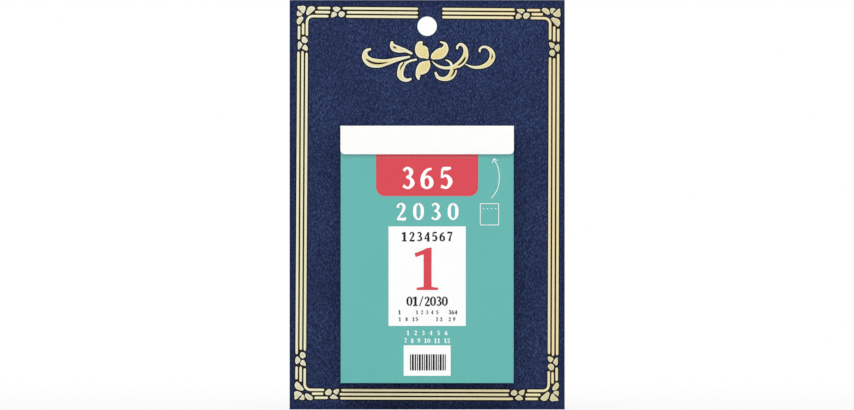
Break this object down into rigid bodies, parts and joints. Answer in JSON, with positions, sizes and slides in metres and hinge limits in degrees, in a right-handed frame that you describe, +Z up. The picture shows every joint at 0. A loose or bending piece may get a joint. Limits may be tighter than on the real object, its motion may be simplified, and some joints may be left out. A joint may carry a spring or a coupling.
{
  "type": "tear-off day calendar",
  "caption": "Wall-hung tear-off day calendar: a stapled block of perforated paper leaves under a white card header, on a leatherette-covered board plate with a hanging hole.",
  "frame": {"origin": "centre of the hanging hole, on the wall plane at the back of the plate", "axes": "+Z up, +X to the right of someone facing the calendar, +Y into the wall; the leaves face -Y"},
  "size_m": [0.135, 0.0269, 0.201],
  "materials": {
    "leatherette": "embossed leather grain on coated paper, navy, satin, stamped with pale gold foil",
    "grey_board": "raw grey board",
    "lining_paper": "uncoated paper",
    "foam_tape": "white foam",
    "white_card": "smooth white card",
    "staple_wire": "galvanised wire",
    "cover_print": "coated paper printed teal, satin",
    "leaf_paper": "uncoated white paper"
  },
  "bodies": {
    "wall_plate": {"back_lining": "lining_paper", "leatherette_covering": "leatherette", "backing_board": "grey_board", "mounting_tape": "foam_tape", "header_card": "white_card", "staples": "staple_wire", "cover_sheet_stub": "cover_print", "day_leaf_1_stub": "leaf_paper", "day_leaf_2_stub": "leaf_paper", "day_leaf_3_stub": "leaf_paper", "day_leaf_4_stub": "leaf_paper", "day_leaf_5_stub": "leaf_paper", "day_leaf_6_stub": "leaf_paper", "day_leaf_7_stub": "leaf_paper", "january_leaves": "leaf_paper", "february_leaves": "leaf_paper", "march_leaves": "leaf_paper", "april_leaves": "leaf_paper", "may_leaves": "leaf_paper", "june_leaves": "leaf_paper", "july_leaves": "leaf_paper", "august_leaves": "leaf_paper", "september_leaves": "leaf_paper", "october_leaves": "leaf_paper", "november_leaves": "leaf_paper", "december_leaves": "leaf_paper"},
    "day_leaf_1": {"day_leaf_1": "leaf_paper"},
    "day_leaf_2": {"day_leaf_2": "leaf_paper"},
    "day_leaf_3": {"day_leaf_3": "leaf_paper"},
    "day_leaf_4": {"day_leaf_4": "leaf_paper"},
    "day_leaf_5": {"day_leaf_5": "leaf_paper"},
    "day_leaf_6": {"day_leaf_6": "leaf_paper"},
    "day_leaf_7": {"day_leaf_7": "leaf_paper"},
    "cover_sheet": {"cover_sheet": "cover_print"}
  },
  "joints": [
    {"name": "day_leaf_7_tear", "type": "slide", "parent": "wall_plate", "child": "day_leaf_7", "axis": [0, -1, 0], "range_m": [0, 0.04]},
    {"name": "day_leaf_6_tear", "type": "slide", "parent": "day_leaf_7", "child": "day_leaf_6", "axis": [0, -1, 0], "range_m": [0, 0.04]},
    {"name": "day_leaf_5_tear", "type": "slide", "parent": "day_leaf_6", "child": "day_leaf_5", "axis": [0, -1, 0], "range_m": [0, 0.04]},
    {"name": "day_leaf_4_tear", "type": "slide", "parent": "day_leaf_5", "child": "day_leaf_4", "axis": [0, -1, 0], "range_m": [0, 0.04]},
    {"name": "day_leaf_3_tear", "type": "slide", "parent": "day_leaf_4", "child": "day_leaf_3", "axis": [0, -1, 0], "range_m": [0, 0.04]},
    {"name": "day_leaf_2_tear", "type": "slide", "parent": "day_leaf_3", "child": "day_leaf_2", "axis": [0, -1, 0], "range_m": [0, 0.04]},
    {"name": "day_leaf_1_tear", "type": "slide", "parent": "day_leaf_2", "child": "day_leaf_1", "axis": [0, -1, 0], "range_m": [0, 0.04]},
    {"name": "cover_sheet_flip", "type": "hinge", "parent": "day_leaf_1", "child": "cover_sheet", "pos_m": [0, -0.02588, -0.06442], "axis": [-1, 0, 0], "range_deg": [0, 140]}
  ]
}
